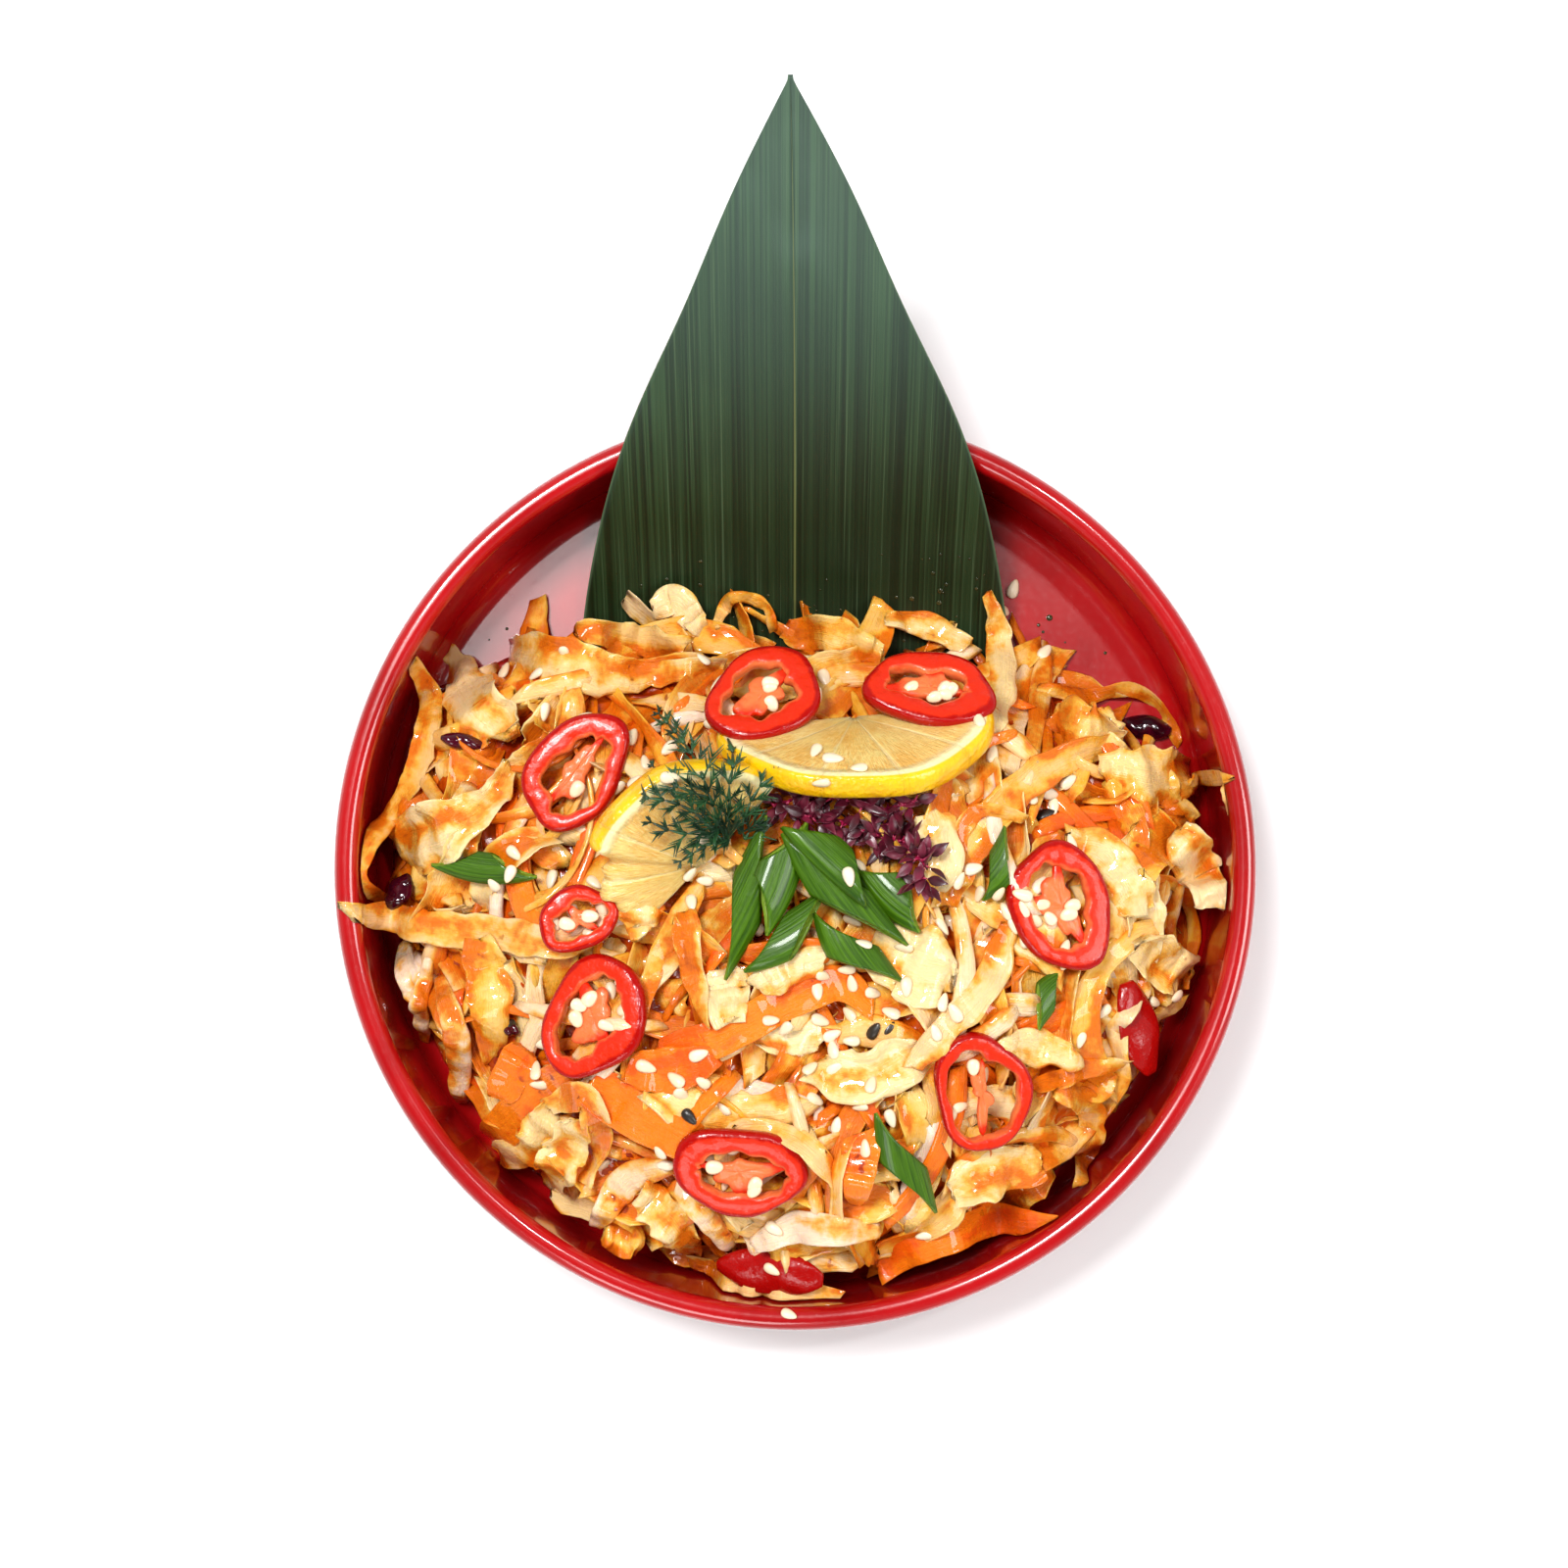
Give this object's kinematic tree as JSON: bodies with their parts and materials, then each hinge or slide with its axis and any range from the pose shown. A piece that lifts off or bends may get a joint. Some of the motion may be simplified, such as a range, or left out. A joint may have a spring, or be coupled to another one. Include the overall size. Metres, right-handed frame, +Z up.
{
  "type": "bowl of spicy cabbage salad",
  "caption": "Round shallow bowl heaped with dressed shredded cabbage, topped with chilli rings, lemon, herbs and sesame, with a pointed leaf standing at the back.",
  "frame": {"origin": "centre of the flat foot that the bowl stands on", "axes": "+Z up, +Y from the bowl's middle towards the leaf at its back, +X to the right seen from above with the leaf at the top"},
  "size_m": [0.16, 0.2063, 0.0748],
  "materials": {
    "red_lacquer": "glossy",
    "leaf_green": "satin",
    "dressed_cabbage": "wet",
    "chilli_red": "glossy",
    "onion_green": "wet",
    "lemon_yellow": "satin",
    "dill_green": "matt",
    "greens_purple": "matt"
  },
  "bodies": {
    "root": {"bowl": "red_lacquer", "leaf": "leaf_green", "salad": "dressed_cabbage", "chilli_ring_1": "chilli_red", "chilli_ring_2": "chilli_red", "chilli_ring_3": "chilli_red", "chilli_ring_4": "chilli_red", "chilli_ring_5": "chilli_red", "chilli_ring_6": "chilli_red", "chilli_ring_7": "chilli_red", "chilli_ring_8": "chilli_red", "chilli_piece_1": "chilli_red", "chilli_piece_2": "chilli_red", "lemon_half_1": "lemon_yellow", "lemon_half_2": "lemon_yellow", "onion_slice_1": "onion_green", "onion_slice_2": "onion_green", "onion_slice_3": "onion_green", "onion_slice_4": "onion_green", "onion_slice_5": "onion_green", "onion_slice_6": "onion_green", "onion_slice_7": "onion_green", "onion_slice_8": "onion_green", "onion_slice_9": "onion_green", "onion_slice_10": "onion_green", "onion_slice_11": "onion_green", "dill_sprig": "dill_green", "purple_greens": "greens_purple"}
  },
  "joints": []
}
